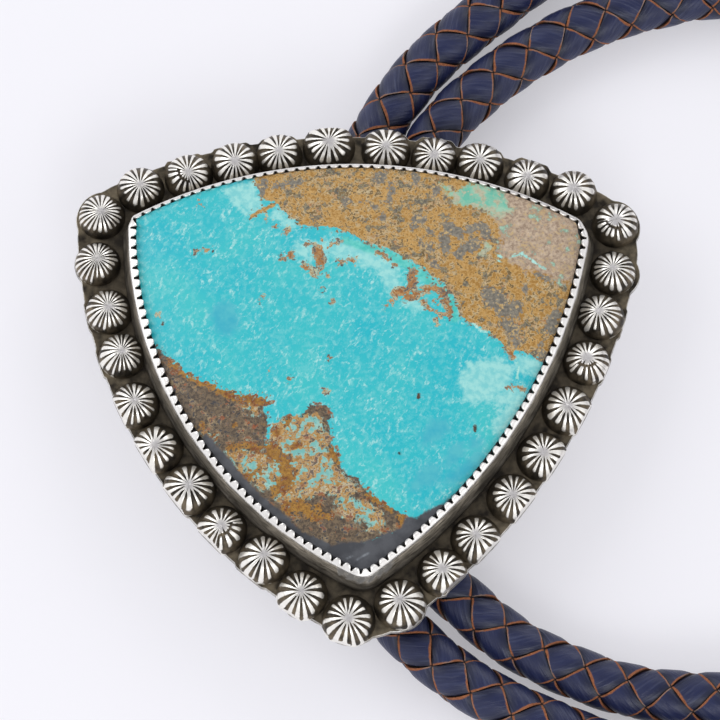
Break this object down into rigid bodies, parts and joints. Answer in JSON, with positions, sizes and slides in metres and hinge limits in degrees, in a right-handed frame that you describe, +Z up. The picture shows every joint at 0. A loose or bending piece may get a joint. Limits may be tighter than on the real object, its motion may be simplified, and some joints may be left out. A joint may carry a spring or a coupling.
{
  "type": "bolo tie",
  "caption": "Bolo tie: a rounded-triangle turquoise stone in a serrated silver bezel with a row of stamped buttons, on a braided leather cord with silver tips.",
  "frame": {"origin": "on the table, under the middle of the back plate", "axes": "+X to the right and +Y to the top as the tie is seen from the front, +Z up out of the table through the stone"},
  "size_m": [0.161, 0.148, 0.0158],
  "materials": {
    "silver": "oxidised in the hollows and polished on the high points",
    "turquoise": "polished stone, stands for turquoise with brown matrix",
    "nickel": "plain satin plated sheet",
    "leather": "satin navy laces with raw brown edges"
  },
  "bodies": {
    "root": {"setting": "silver", "stone": "turquoise", "back_clip": "nickel", "cord": "leather", "tip_right": "silver", "tip_left": "silver"}
  },
  "joints": []
}
